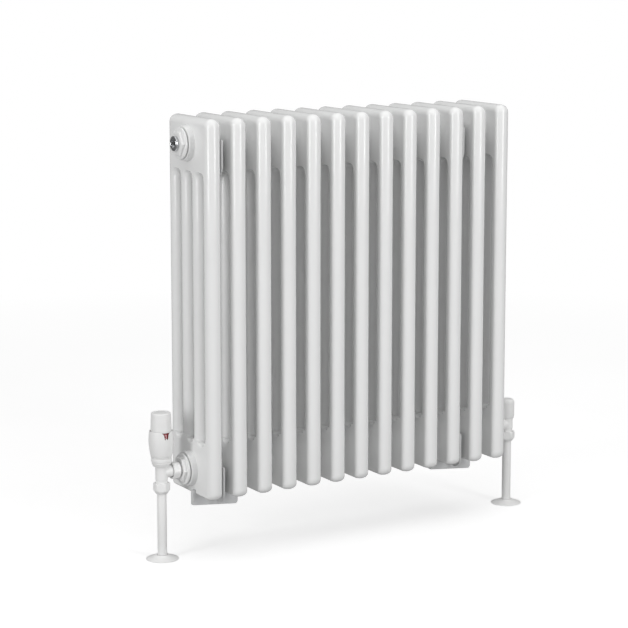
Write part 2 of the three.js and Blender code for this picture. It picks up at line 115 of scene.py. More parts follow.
def noise(material, scale, detail=3.0, stretch=(1, 1, 1)):
    """A noise texture in object space. scale is in features per metre."""
    tree = material.node_tree
    coordinates = tree.nodes.new("ShaderNodeTexCoord")
    mapping = tree.nodes.new("ShaderNodeMapping")
    mapping.inputs["Scale"].default_value = stretch
    texture = tree.nodes.new("ShaderNodeTexNoise")
    texture.inputs["Scale"].default_value = scale
    texture.inputs["Detail"].default_value = detail
    tree.links.new(coordinates.outputs["Object"], mapping.inputs["Vector"])
    tree.links.new(mapping.outputs["Vector"], texture.inputs["Vector"])
    return texture.outputs["Fac"]


def spread(material, value, low, high, start=0.3, end=0.7):
    """Maps a value between start and end to a number between low and high."""
    node = material.node_tree.nodes.new("ShaderNodeMapRange")
    node.inputs["From Min"].default_value = start
    node.inputs["From Max"].default_value = end
    node.inputs["To Min"].default_value = low
    node.inputs["To Max"].default_value = high
    material.node_tree.links.new(value, node.inputs["Value"])
    return node.outputs["Result"]


def tint(material, value, dark, light):
    """Blends two colours by a value."""
    node = material.node_tree.nodes.new("ShaderNodeMix")
    node.data_type = "RGBA"
    node.inputs["A"].default_value = (*dark, 1)
    node.inputs["B"].default_value = (*light, 1)
    material.node_tree.links.new(value, node.inputs["Factor"])
    return node.outputs["Result"]


def bumped(material, shader, value, distance):
    """Raises the surface by a value times a distance in metres."""
    node = material.node_tree.nodes.new("ShaderNodeBump")
    node.inputs["Distance"].default_value = distance
    node.inputs["Strength"].default_value = 1.0
    material.node_tree.links.new(value, node.inputs["Height"])
    material.node_tree.links.new(node.outputs["Normal"], shader.inputs["Normal"])


def paint(name, dark, light, roughness, peel):
    """Sprayed paint: a faint cloudiness, an uneven gloss and a fine orange peel."""
    material, shader = new_material(name, light, roughness)
    links = material.node_tree.links
    cloud = spread(material, noise(material, 14), 0.6, 1.0)
    links.new(tint(material, cloud, dark, light), shader.inputs["Base Color"])
    gloss = spread(material, noise(material, 60), roughness * 0.85, roughness * 1.2)
    links.new(gloss, shader.inputs["Roughness"])
    bumped(material, shader, noise(material, 420, detail=2), peel)
    return material


def moulded(name, dark, light, roughness, grain):
    """Moulded plastic: a fine spark-eroded grain."""
    material, shader = new_material(name, light, roughness)
    links = material.node_tree.links
    cloud = spread(material, noise(material, 25), 0.5, 1.0)
    links.new(tint(material, cloud, dark, light), shader.inputs["Base Color"])
    gloss = spread(material, noise(material, 300), roughness * 0.85, roughness * 1.15)
    links.new(gloss, shader.inputs["Roughness"])
    bumped(material, shader, noise(material, 2600, detail=2), grain)
    return material


def bare_metal(name, dark, light, roughness, scratches):
    """Plated or turned metal, with a finely streaked gloss."""
    material, shader = new_material(name, light, roughness, metallic=1.0)
    links = material.node_tree.links
    cloud = spread(material, noise(material, 180), 0.0, 1.0)
    links.new(tint(material, cloud, dark, light), shader.inputs["Base Color"])
    streaks = noise(material, 900, stretch=(1, 1, 6))
    gloss = spread(material, streaks, roughness * 0.7, roughness * 1.5)
    links.new(gloss, shader.inputs["Roughness"])
    bumped(material, shader, streaks, scratches)
    return material


def rubber(name):
    """Mottled matte rubber."""
    material, shader = new_material(name, (0.3, 0.3, 0.3), 0.7, specular=0.3)
    mottle = noise(material, 700)
    colour = tint(material, mottle, (0.26, 0.26, 0.26), (0.38, 0.38, 0.38))
    material.node_tree.links.new(colour, shader.inputs["Base Color"])
    bumped(material, shader, mottle, 0.00008)
    return material


LOOKS = {
    "body_paint": paint("white_gloss_paint", (0.80, 0.803, 0.80), (0.83, 0.833, 0.83), 0.12, 0.000006),
    "valve_paint": paint("white_satin_paint", (0.84, 0.84, 0.835), (0.88, 0.88, 0.875), 0.34, 0.00002),
    "white_plastic": moulded("white_plastic", (0.80, 0.80, 0.795), (0.84, 0.84, 0.835), 0.38, 0.00001),
    "chrome": bare_metal("chrome_plate", (0.42, 0.43, 0.44), (0.62, 0.63, 0.64), 0.12, 0.000004),
    "brass": bare_metal("turned_brass", (0.60, 0.43, 0.19), (0.74, 0.56, 0.28), 0.25, 0.00001),
    "gasket_rubber": rubber("grey_rubber"),
    "dial_red": moulded("dark_red_plastic", (0.16, 0.006, 0.012), (0.24, 0.01, 0.02), 0.35, 0.000006),
    "bracket_steel": paint("grey_bracket_paint", (0.50, 0.505, 0.505), (0.58, 0.585, 0.585), 0.42, 0.00003),
    "saddle_plastic": moulded("grey_plastic", (0.58, 0.585, 0.59), (0.64, 0.645, 0.65), 0.5, 0.00002),
}
NUMBER_INK = moulded("pink_number_ink", (0.72, 0.36, 0.38), (0.82, 0.46, 0.48), 0.4, 0.000004)


# ---- Shapes ----


def turned(rows, sides=SIDES):
    """Turns rows of (radius, height) round +Z.

    A third number in a row is half the distance across the flats of a hexagon that the row is cut to.
    A row on the axis is one point, and rows that don't end on the axis close into a ring."""
    points, rings = [], []
    for radius, height, *flat in rows:
        if radius == 0:
            rings.append([len(points)])
            points.append((0, 0, height))
            continue
        ring = []
        for i in range(sides):
            angle = 2 * math.pi * i / sides
            reach = radius
            if flat:
                from_middle = (angle + math.pi / 6) % (math.pi / 3) - math.pi / 6
                reach = min(radius, flat[0] / math.cos(from_middle))
            ring.append(len(points))
            points.append((reach * math.cos(angle), reach * math.sin(angle), height))
        rings.append(ring)
    if len(rings[0]) > 1 and len(rings[-1]) > 1:
        rings.append(rings[0])
    faces = []
    for lower, upper in zip(rings, rings[1:]):
        for i in range(sides):
            j = (i + 1) % sides
            low_pair = (lower[i % len(lower)], lower[j % len(lower)])
            high_pair = (upper[j % len(upper)], upper[i % len(upper)])
            faces.append(tuple(dict.fromkeys(low_pair + high_pair)))
    return points, faces


def rounded(centre_radius, centre_height, radius, start, end, steps=5):
    """Rows along an arc, from one angle to another in degrees. 0 points off the axis, 90 points up."""
    rows = []
    for i in range(steps + 1):
        angle = math.radians(start + (end - start) * i / steps)
        height = centre_height + radius * math.sin(angle)
        rows.append((centre_radius + radius * math.cos(angle), height))
    return rows


def eased_bar(radius, low, high, edge=0.4):
    """Rows of a round bar whose two rims are rounded."""
    return [
        (0, low),
        *rounded(radius - edge, low + edge, edge, -90, 0, 3),
        *rounded(radius - edge, high - edge, edge, 0, 90, 3),
        (0, high),
    ]


def extruded(outline, thickness):
    """A flat outline in X and Z, counter-clockwise as seen from -Y, made thick about y = 0."""
    count = len(outline)
    half = thickness / 2
    points = [(x, -half, z) for x, z in outline] + [(x, half, z) for x, z in outline]
    triangles = tessellate_polygon([[Vector((x, z, 0)) for x, z in outline]])
    faces = []
    for triangle in triangles:
        a, b, c = triangle
        (ax, az), (bx, bz), (cx, cz) = outline[a], outline[b], outline[c]
        if (bx - ax) * (cz - az) - (bz - az) * (cx - ax) < 0:
            b, c = c, b
        faces.append((a, b, c))
        faces.append((count + a, count + c, count + b))
    for i in range(count):
        j = (i + 1) % count
        faces.append((j, i, count + i, count + j))
    return points, faces


def arc(u, v, radius, start, end, steps):
    """Points along an arc, from one angle to another in degrees."""
    points = []
    for i in range(steps + 1):
        angle = math.radians(start + (end - start) * i / steps)
        points.append((u + radius * math.cos(angle), v + radius * math.sin(angle)))
    return points


def joined(*shapes):
    """Several shapes as one."""
    points, faces = [], []
    for more_points, more_faces in shapes:
        offset = len(points)
        points.extend(more_points)
        faces.extend(tuple(i + offset for i in face) for face in more_faces)
    return points, faces


def moved(shape, matrix):
    """A shape put elsewhere by a matrix."""
    points, faces = shape
    return [tuple(matrix @ Vector(point)) for point in points], faces


def turned_to(axis, degrees):
    return Matrix.Rotation(math.radians(degrees), 4, axis)


def outward(side):
    """Turns +Z to point out of the left (-1) or right (+1) end of the radiator."""
    return turned_to("Y", 90 * side)


# ---- Pieces ----

BEVEL_ANGLE = 35  # an edge that turns by more than this is rounded


def new_object(name, shape, place=(0, 0, 0)):
    """An object made from a shape, whose origin of millimetres is at a place in metres."""
    points, faces = shape
    points = [[value * MM + start for value, start in zip(point, place)] for point in points]
    mesh = bpy.data.meshes.new(name)
    mesh.from_pydata(points, [], faces)
    work = bmesh.new()
    work.from_mesh(mesh)
    bmesh.ops.remove_doubles(work, verts=work.verts, dist=1e-7)
    bmesh.ops.recalc_face_normals(work, faces=work.faces)
    work.to_mesh(mesh)
    work.free()
    piece = bpy.data.objects.new(name, mesh)
    bpy.context.scene.collection.objects.link(piece)
    return piece


def settle(piece):
    """Makes a piece's modifiers part of its mesh."""
    bpy.context.view_layer.update()
    graph = bpy.context.evaluated_depsgraph_get()
    mesh = bpy.data.meshes.new_from_object(piece.evaluated_get(graph))
    piece.modifiers.clear()
    piece.data = mesh


def combine(piece, shape, operation, place):
    """Joins a closed shape to a piece, or cuts it out."""
    tool = new_object("tool", shape, place)
    step = piece.modifiers.new("combine", "BOOLEAN")
    step.operation = operation
    step.object = tool
    step.solver = "EXACT"
    settle(piece)
    bpy.data.objects.remove(tool)


def bevel(piece, width):
    """Rounds a piece's sharp edges."""
    step = piece.modifiers.new("bevel", "BEVEL")
    step.width = width * MM
    step.segments = 2
    step.limit_method = "ANGLE"
    step.angle_limit = math.radians(BEVEL_ANGLE)
    settle(piece)


def dress(piece, slot, *nodes, crease=32):
    """Gives a piece its finish, and makes it stand for its CAD nodes."""
    piece.data.materials.clear()
    piece.data.materials.append(LOOKS[slot])
    piece.data.shade_smooth()
    piece.data.set_sharp_from_angle(angle=math.radians(crease))
    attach(piece, frame["nodes"][nodes[0]]["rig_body"])
    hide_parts(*nodes)


def middle(node):
    """The middle of a CAD node's box."""
    low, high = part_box(node)
    return (low + high) / 2


def hub_face(end, level):
    """The middle of the outer hub's face at one end of the radiator."""
    across = middle(f"bush_{level}_{end}")
    low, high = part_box("section_01" if end == "left" else f"section_{SECTION_COUNT}")
    return Vector((low.x if end == "left" else high.x, across.y, across.z))


def valve_axis(end):
    """Where a valve's vertical axis crosses the lower hubs' axis."""
    pipe = middle(f"pipe_{end}")
    return Vector((pipe.x, pipe.y, hub_face(end, "bottom").z))


# ---- Sections: the surface of a plate cut out as a comb, with every edge fully rounded ----

SECTION_PITCH = 45
COLUMN_PITCH = 38
TUBE_RADIUS = 12.5
HEAD_RADIUS = 12.75
SECTION_HEIGHT = 600
SEAM = 91  # from the bottom of the section to where the tubes enter the bottom head
TOP_SLOT_CENTRE = 93.5  # from the top of the section to the middle of a slot's upper round end
BOTTOM_SLOT_CENTRE = 88.4  # from the bottom of the section
BOTTOM_SLOT_DIP = 1.8  # below that centre: the slot's lower end is almost level with the seam
TOP_EDGE = (13.5, 11.0)  # corner radius, and how far the rounded edge reaches down the flat side
BOTTOM_EDGE = (13, 5.5)
COLLAR_INSET = 4.6  # how far a slot's edge reaches into the bottom head
HUB_FROM_END = 41
EDGE_STEPS = 10  # over a quarter turn of an edge
END_STEPS = 16  # round half a turn of a slot's end
CORNER_STEPS = 10  # round a quarter turn of a section's corner
FLAT_RUN = 0.25  # how far an edge runs on along the flat side
SPAN = 3 * COLUMN_PITCH
SLOT_REACH = COLUMN_PITCH / 2 - HEAD_RADIUS


def side_stations():
    """Height, inset, half thickness and sweep down one side of a slot, from its upper round end.

    A tube melts into the top head, but is pushed into a flat-sided collar of the bottom head.
    A sweep below 90 degrees leaves a crease where the slot's edge meets the flat side."""
    top = SECTION_HEIGHT - TOP_SLOT_CENTRE
    return [
        (top - 2, 11.2, 12.72, 80),
        (top - 4.5, 11.9, 12.68, 84),
        (top - 8, 12.3, 12.62, 88),
        (top - 13, 12.56, 12.56, 90),
        (top - 20, TUBE_RADIUS, TUBE_RADIUS, 90),
        (SECTION_HEIGHT / 2, TUBE_RADIUS, TUBE_RADIUS, 90),
        (SEAM + 20, TUBE_RADIUS, TUBE_RADIUS, 90),
        (SEAM + 10, 12.62, 12.62, 90),
        (SEAM, HEAD_RADIUS, HEAD_RADIUS, 90),
        (SEAM - 0.4, COLLAR_INSET, HEAD_RADIUS, 90),
        (BOTTOM_SLOT_CENTRE + 1, COLLAR_INSET, HEAD_RADIUS, 90),
    ]


def slot_end(gap_y, centre_z, dip, start, shoulder, apex):
    """Stations round half a turn of a slot's end.

    The shoulders and the apex each have an inset and a sweep, and the stations between them ease
    from one to the other."""
    stations = []
    for i in range(END_STEPS + 1):
        angle = math.radians(start + 180 * i / END_STEPS)
        way = (math.cos(angle), math.sin(angle))
        rim = (gap_y + SLOT_REACH * way[0], centre_z + dip * way[1])
        inset, sweep = (b + (a - b) * way[0] ** 2 for a, b in zip(shoulder, apex))
        stations.append((rim, way, inset, HEAD_RADIUS, sweep))
    return stations


def slot_loop(gap_y):
    """Stations round the slot between two tubes.

    A station is a rim point, the way into the metal, an inset, a half thickness and a sweep."""
    top = SECTION_HEIGHT - TOP_SLOT_CENTRE
    stations = slot_end(gap_y, top, SLOT_REACH, 0, (10.4, 75), (4, 60))
    for height, inset, half, sweep in side_stations():
        stations.append(((gap_y - COLUMN_PITCH / 2 + half, height), (-1, 0), inset, half, sweep))
    collar = (COLLAR_INSET, 90)
    stations += slot_end(gap_y, BOTTOM_SLOT_CENTRE, BOTTOM_SLOT_DIP, 180, collar, collar)
    for height, inset, half, sweep in reversed(side_stations()):
        stations.append(((gap_y + COLUMN_PITCH / 2 - half, height), (1, 0), inset, half, sweep))
    return stations


def outer_loop():
    """Stations round the outside of a section, which is smooth from the top head to the bottom one."""
    stations = []
    edge = SPAN / 2 + HEAD_RADIUS
    flank = [(height, half) for height, _, half, _ in side_stations()]
    corners = (
        (1, 1, 0, TOP_EDGE),
        (-1, 1, 90, TOP_EDGE),
        (-1, -1, 180, BOTTOM_EDGE),
        (1, -1, 270, BOTTOM_EDGE),
    )
    for corner_y, corner_z, start, (radius, end_inset) in corners:
        centre_y = corner_y * (edge - radius)
        centre_z = SECTION_HEIGHT / 2 + corner_z * (SECTION_HEIGHT / 2 - radius)
        for i in range(CORNER_STEPS + 1):
            angle = math.radians(start + 90 * i / CORNER_STEPS)
            out = (math.cos(angle), math.sin(angle))
            upright = 0.5 - 0.5 * math.cos(2 * angle)  # 0 on the front and back, 1 on the top and bottom
            inset = HEAD_RADIUS + (end_inset - HEAD_RADIUS) * upright
            rim = (centre_y + radius * out[0], centre_z + radius * out[1])
            stations.append((rim, (-out[0], -out[1]), inset, HEAD_RADIUS, 90))
        if start == 90:
            for height, half in flank:
                stations.append(((-(SPAN / 2 + half), height), (1, 0), half, half, 90))
        if start == 270:
            for height, half in reversed(flank):
                stations.append(((SPAN / 2 + half, height), (-1, 0), half, half, 90))
    return stations


def swept(stations):
    """Sweeps a rounded edge along a closed loop of stations.

    Where it meets a flat side it runs on a little way, level with it, so that the side is shaded flat."""
    points, faces = [], []
    profile = range(-EDGE_STEPS, EDGE_STEPS + 1)
    for (rim_y, rim_z), (way_y, way_z), inset, half, sweep in stations:
        end = math.radians(sweep)
        run_on = max(0.0, min(FLAT_RUN, half - inset))
        places = []
        for k in profile:
            angle = end * k / EDGE_STEPS
            out = half * math.sin(angle) / math.sin(end)
            places.append((out, inset * (1 - math.cos(angle)) / (1 - math.cos(end))))
        places = [(-half, inset + run_on), *places, (half, inset + run_on)]
        points.extend((out, rim_y + way_y * depth, rim_z + way_z * depth) for out, depth in places)
    width = len(profile) + 2
    for i in range(len(stations)):
        j = (i + 1) % len(stations)
        for k in range(width - 1):
            faces.append((i * width + k, j * width + k, j * width + k + 1, i * width + k + 1))
    return points, faces


def boss_rows():
    """A hub boss from the head's side to its face, and on into the bore."""
    side, face = HEAD_RADIUS, 22.35
    return [
        (29.2, side),
        (29.0, side),
        (28.7, side + 0.12),
        (28.45, side + 0.5),
        (28.3, side + 1.2),
        *rounded(26.1, face - 1.5, 1.5, 8, 90, 6),
        (17.2, face),
        (16.5, face - 0.7),
        (16.3, face - 1.5),
    ]


def add_hub(work, hub_z):
    """Adds the two bosses at one height of a section, and the bore that joins them."""
    rims = []
    for side in (-1, 1):
        rings = []
        for radius, out in boss_rows():
            ring = []
            for i in range(SIDES):
                angle = 2 * math.pi * i / SIDES
                place = (side * out, radius * math.cos(angle), hub_z + radius * math.sin(angle))
                ring.append(work.verts.new(place))
            rings.append(ring)
        for lower, upper in zip(rings, rings[1:]):
            for i in range(SIDES):
                j = (i + 1) % SIDES
                work.faces.new((lower[i], lower[j], upper[j], upper[i]))
        rims.append(rings[-1])
    left, right = rims
    for i in range(SIDES):
        j = (i + 1) % SIDES
        work.faces.new((left[i], left[j], right[j], right[i]))


def edges_of_flat(edges, side, upper):
    """Those edges that bound the flat side of one head."""
    found = []
    for edge in edges:
        place = edge.verts[0].co
        if place.x * side > 0 and (place.z > SECTION_HEIGHT / 2) == upper:
            found.append(edge)
    return found


def section_shape():
    """A whole section: swept edges, hubs, and the flat sides of both heads filled in between them."""
    loops = [outer_loop()] + [slot_loop(y) for y in (-COLUMN_PITCH, 0, COLUMN_PITCH)]
    work = bmesh.new()
    mesh = bpy.data.meshes.new("section")
    points, faces = joined(*(swept(loop) for loop in loops))
    mesh.from_pydata(points, [], faces)
    work.from_mesh(mesh)
    bmesh.ops.remove_doubles(work, verts=work.verts, dist=1e-4)
    bpy.data.meshes.remove(mesh)
    for hub_z in (HUB_FROM_END, SECTION_HEIGHT - HUB_FROM_END):
        add_hub(work, hub_z)
    open_edges = [edge for edge in work.edges if len(edge.link_faces) == 1]
    for side in (-1, 1):
        for upper in (False, True):
            edges = edges_of_flat(open_edges, side, upper)
            bmesh.ops.triangle_fill(work, edges=edges, use_beauty=True, normal=(side, 0, 0))
    bmesh.ops.recalc_face_normals(work, faces=work.faces)
    work.verts.index_update()
    points = [tuple(vert.co) for vert in work.verts]
    faces = [tuple(vert.index for vert in face.verts) for face in work.faces]
    work.free()
    return points, faces


def add_sections():
    """One section shape, in the place of each CAD section."""
    shape = section_shape()
    for number in range(1, SECTION_COUNT + 1):
        node = f"section_{number:02d}"
        low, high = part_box(node)
        place = ((low.x + high.x) / 2, (low.y + high.y) / 2, low.z)
        dress(new_object(f"cast_{node}", shape, place), "body_paint", node, crease=60)


# ---- Hub fittings: made along +Z from the hub's face ----

FLANGE_LOW = 1.6
FLANGE_TOP = 4.6
HEXAGON_TOP = 9.6
HEXAGON_FLAT = 18


def gasket_shape():
    return turned([
        *rounded(23.6, 0.8, 0.5, -90, 90, 6),
        *rounded(17.4, 0.8, 0.5, 90, 270, 6),
    ])


def bush_shape():
    """A bush: threaded sleeve, round flange and hexagon, bored through."""
    return turned([
        (10, -13),
        (14.2, -13),
        (14.6, -12.5),
        (14.6, FLANGE_LOW),
        *rounded(24.6, FLANGE_LOW + 0.5, 0.5, -90, 0, 3),
        *rounded(24.1, FLANGE_TOP - 1.0, 1.0, 0, 90, 5),
        (21.2, FLANGE_TOP),
        (21.0, FLANGE_TOP, HEXAGON_FLAT),
        (21.0, HEXAGON_TOP - 0.8, HEXAGON_FLAT),
        (21.0, HEXAGON_TOP - 0.35, HEXAGON_FLAT - 0.15),
        (21.0, HEXAGON_TOP - 0.1, HEXAGON_FLAT - 0.4),
        (21.0, HEXAGON_TOP, HEXAGON_FLAT - 0.8),
        (16.8, HEXAGON_TOP),
        (10.6, HEXAGON_TOP),
        (10, HEXAGON_TOP - 0.6),
    ])


def vent_shape():
    """The air vent: a disc with a ring groove and a round recess round the screw."""
    disc, recess = 11.8, 6.5
    foot, top = HEXAGON_TOP + 0.3, HEXAGON_TOP + 5
    return turned([
        (4.4, -2),
        (9.3, -2),
        (9.3, foot),
        *rounded(disc - 0.4, foot + 0.4, 0.4, -90, 0, 3),
        *rounded(disc - 0.9, top - 0.9, 0.9, 0, 90, 5),
        (9.4, top),
        (9.1, top - 0.25),
        (8.8, top),
        *rounded(recess + 0.4, top - 0.4, 0.4, 90, 180, 4),
        (recess, HEXAGON_TOP + 2.6),
        (4.4, HEXAGON_TOP + 2.6),
    ])


def bleed_screw_shape():
    """A round shank with a square head for the key."""
    shank = turned(eased_bar(4, 1, HEXAGON_TOP + 2.4, 0.3))
    half = 2.5
    outline = []
    for u, v, start in ((1, 1, 0), (-1, 1, 90), (-1, -1, 180), (1, -1, 270)):
        outline.extend(arc(u * (half - 0.4), v * (half - 0.4), 0.4, start, start + 90, 3))
    square = extruded(outline, 3.2)
    square = moved(square, turned_to("X", 90))
    square = moved(square, Matrix.Translation((0, 0, HEXAGON_TOP + 3.2)))
    return joined(shank, square)


def blanking_plug_shape():
    """A disc with a hexagon socket."""
    disc, socket = 11.8, 6.0
    foot, top = HEXAGON_TOP + 0.3, HEXAGON_TOP + 4.2
    return turned([
        (0, -2),
        (9.3, -2),
        (9.3, foot),
        *rounded(disc - 0.4, foot + 0.4, 0.4, -90, 0, 3),
        *rounded(disc - 0.9, top - 0.9, 0.9, 0, 90, 5),
        (7.5, top),
        (7.2, top - 0.3, socket),
        (7.2, HEXAGON_TOP - 2, socket),
        (4, HEXAGON_TOP - 3),
        (0, HEXAGON_TOP - 3),
    ])


def add_hub_fittings():
    for end, side in ENDS:
        for level in LEVELS:
            place = hub_face(end, level)
            gasket = new_object(f"seal_{level}_{end}", moved(gasket_shape(), outward(side)), place)
            dress(gasket, "gasket_rubber", f"gasket_{level}_{end}")
            bush = new_object(f"hub_bush_{level}_{end}", moved(bush_shape(), outward(side)), place)
            dress(bush, "body_paint", f"bush_{level}_{end}")
    place = hub_face("left", "top")
    vent = new_object("vent_plug", moved(vent_shape(), outward(-1)), place)
    dress(vent, "chrome", "air_vent_body")
    screw = new_object("vent_screw", moved(bleed_screw_shape(), outward(-1)), place)
    dress(screw, "chrome", "bleed_screw")
    plug = new_object("end_plug", moved(blanking_plug_shape(), outward(1)), hub_face("right", "top"))
    dress(plug, "chrome", "blanking_plug")


# ---- Valve unions: tailpiece and union nut, made along +Z from the hub's face ----

NUT_LOW = 11.6
NUT_TOP = 24.2
COLLAR_LOW = 14.7
COLLAR_TOP = 17.7


def tailpiece_shape():
    return turned([
        (6, -6),
        (9.0, -6),
        (9.3, -5.5),
        (9.3, HEXAGON_TOP - 1),
        (8.9, HEXAGON_TOP - 0.5),
        (7.9, HEXAGON_TOP - 0.5),
        (7.9, COLLAR_LOW),
        (9.4, COLLAR_LOW),
        (9.6, COLLAR_LOW + 0.3),
        (9.6, COLLAR_TOP - 0.5),
        (9.1, COLLAR_TOP),
        (6, COLLAR_TOP),
    ])


def union_nut_shape():
    """A hexagon nut whose corners are almost turned away."""
    flat, corner = 12.9, 13.9
    return turned([
        (8.4, NUT_LOW + 0.3),
        (8.7, NUT_LOW),
        (12.2, NUT_LOW),
        (13.2, NUT_LOW + 0.4, flat),
        (corner, NUT_LOW + 1.2, flat),
        (corner, NUT_TOP - 1.2, flat),
        (13.2, NUT_TOP - 0.4, flat),
        (12.2, NUT_TOP),
        (10.6, NUT_TOP - 0.8),
        (10.6, COLLAR_LOW - 0.3),
        (8.4, COLLAR_LOW - 0.3),
    ])


# ---- Valve bodies: z = 0 on the hub's axis, with the arm pointing along +X ----

SHOULDER = 9.7
BARREL_TOP = 17
SEAT = -8
ARM_LENGTH = 22.5
NUT_HEIGHT = 17
TRV_FOOT = -26.5
LOCKSHIELD_FOOT = -22.5
CASTING_GRAIN = 0.55  # the size of the steps that a body is melted in


def cast_body(name, foot, place, side):
    """A valve body: a barrel and an arm melted together with a small fillet, then bored out."""
    barrel = turned([
        (0, foot),
        *rounded(8.6, foot + 0.6, 0.6, -90, 0, 3),
        (9.2, foot + 13.6),
        *rounded(9.1, foot + 15, 0.8, -60, 0, 3),
        *rounded(9.1, SHOULDER - 0.8, 0.8, 0, 90, 3),
        (8.5, SHOULDER),
        (8.5, BARREL_TOP - 0.4),
        (8.1, BARREL_TOP),
        (0, BARREL_TOP),
    ])
    arm = turned(eased_bar(9.6, 0, ARM_LENGTH, 0.6))
    swing = turned_to("Z", 0 if side < 0 else 180)
    along = swing @ turned_to("Y", 90)
    body = new_object(name, joined(barrel, moved(arm, along)), place)
    melt = body.modifiers.new("melt", "REMESH")
    melt.mode = "VOXEL"
    melt.voxel_size = CASTING_GRAIN * MM
    ease = body.modifiers.new("ease", "SMOOTH")
    ease.factor = 0.5
    ease.iterations = 5
    settle(body)
    combine(body, turned(eased_bar(7.85, foot - 6, SEAT - 4)), "DIFFERENCE", place)
    combine(body, turned(eased_bar(4.5, SEAT - 6, SEAT + 1)), "DIFFERENCE", place)
    combine(body, turned(eased_bar(7.6, SEAT, BARREL_TOP + 6)), "DIFFERENCE", place)
    combine(body, moved(turned(eased_bar(6, 3, ARM_LENGTH + 6)), along), "DIFFERENCE", place)
    return body


def compression_nut_shape(top):
    foot = top - NUT_HEIGHT
    flat = 12.0
    return turned([
        (7.9, foot + 0.4),
        (8.3, foot),
        *rounded(9.0, foot + 0.6, 0.6, -90, -30, 2),
        (11.6, foot + 3.6),
        (12.6, foot + 4.6, flat),
        (13.5, foot + 5.4, flat),
        (13.5, top - 1.1, flat),
        (12.9, top - 0.5, flat),
        (12.0, top, flat),
        (10.3, top),
        (9.7, top - 0.6),
        (9.7, top - 13),
        (7.9, top - 13),
    ])


def pipe_shape(low, high):
    return turned([
        *rounded(7.3, low + 0.2, 0.2, -90, 0, 2),
        *rounded(7.3, high - 0.2, 0.2, 0, 90, 2),
        *rounded(7.0, high - 0.2, 0.2, 90, 180, 2),
        *rounded(7.0, low + 0.2, 0.2, 180, 270, 2),
    ])


def floor_plate_shape():
    """A shallow cone with a thin rim and a rounded neck."""
    return turned([
        (8.3, 0.2),
        (8.6, 0),
        *rounded(25.6, 0.4, 0.4, -90, 90, 5),
        (24.4, 1.35),
        (20.0, 2.6),
        (16.0, 3.9),
        (13.2, 5.0),
        (12.2, 5.5),
        *rounded(10.9, 6.1, 0.5, 20, 90, 3),
        *rounded(8.7, 6.0, 0.6, 90, 180, 3),
    ])


def add_valve_base(prefix, end, side, foot):
    """All that a valve stands on and hangs from: tailpiece, nuts, body, pipe and floor plate."""
    hub = hub_face(end, "bottom")
    axis = valve_axis(end)
    tail = new_object(f"{prefix}_union_tail", moved(tailpiece_shape(), outward(side)), hub)
    dress(tail, "valve_paint", f"{prefix}_tailpiece")
    nut = new_object(f"{prefix}_union_ring_nut", moved(union_nut_shape(), outward(side)), hub)
    dress(nut, "valve_paint", f"{prefix}_union_nut")
    body = cast_body(f"{prefix}_cast_body", foot, axis, side)
    dress(body, "valve_paint", f"{prefix}_body")
    lower_nut = new_object(f"{prefix}_pipe_nut", compression_nut_shape(foot + 9), axis)
    dress(lower_nut, "valve_paint", f"{prefix}_compression_nut")
    low, high = (corner.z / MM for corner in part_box(f"pipe_{end}"))
    pipe = new_object(f"riser_{end}", pipe_shape(low, high), (axis.x, axis.y, 0))
    dress(pipe, "valve_paint", f"pipe_{end}")
    plate = new_object(f"pipe_plate_{end}", floor_plate_shape(), (axis.x, axis.y, 0))
    dress(plate, "valve_paint", f"floor_plate_{end}")


# ---- Thermostatic head ----

HEAD_FOOT = 10
COLLAR_NUT_TOP = 26
HOUSING_LOW = 26.3
RIM = 67
DRUM_LOW = 54
DRUM_TOP = 65
DRUM_RADIUS = 16.5
DIAL_LOW = 65.3
DIAL_TOP = 96
DEGREES_PER_NUMBER = 56
REST_NUMBER = 3
NUMBERS = 6
NUMBER_SIZE = 9.5
NUMBER_FOOT = 2.6  # above the drum's lower edge
WINDOW_DEPTH = 8


def collar_nut_shape():
    """The ridged nut under the housing."""
    return turned([
        (8.9, HEAD_FOOT),
        *rounded(13.1, HEAD_FOOT + 0.6, 0.6, -90, -15, 3),
        (15.2, HEAD_FOOT + 4.6),
        *rounded(15.0, HEAD_FOOT + 5.4, 0.6, -20, 60, 3),
        (14.7, HEAD_FOOT + 6.4),
        (14.7, HEAD_FOOT + 7.2),
        *rounded(15.8, HEAD_FOOT + 8.1, 0.6, -100, 0, 4),
        *rounded(15.8, HEAD_FOOT + 12.6, 0.6, 0, 80, 3),
        (15.4, HEAD_FOOT + 13.4),
        (15.4, HEAD_FOOT + 13.9),
        *rounded(16.2, HEAD_FOOT + 14.8, 0.5, -90, 0, 3),
        (16.6, COLLAR_NUT_TOP),
        (11, COLLAR_NUT_TOP),
        (11, BARREL_TOP + 4),
        (8.9, BARREL_TOP + 1),
    ])


def housing_shape():
    """A barrel that swells to its widest about two thirds of the way up."""
    rows = [(11, HOUSING_LOW)]
    rows += rounded(16.5, HOUSING_LOW + 0.4, 0.4, -90, 0, 3)
    widest = 20.0
    rise = 25
    peak = HOUSING_LOW + rise
    first = HOUSING_LOW + 0.8
    last = RIM - 1.2
    steps = 14
    for i in range(1, steps + 1):
        height = first + (last - first) * i / steps
        below = max(0.0, peak - height) / rise
        above = max(0.0, height - peak) / 15
        rows.append((widest - 3.0 * below ** 1.7 - 1.1 * above ** 2, height))
    rows += rounded(18.3, RIM - 0.55, 0.55, 10, 170, 6)
    rows += [
        (17.6, DRUM_LOW - 4),
        (15, HOUSING_LOW + 2),
        (11, HOUSING_LOW + 2),
    ]
    return turned(rows)


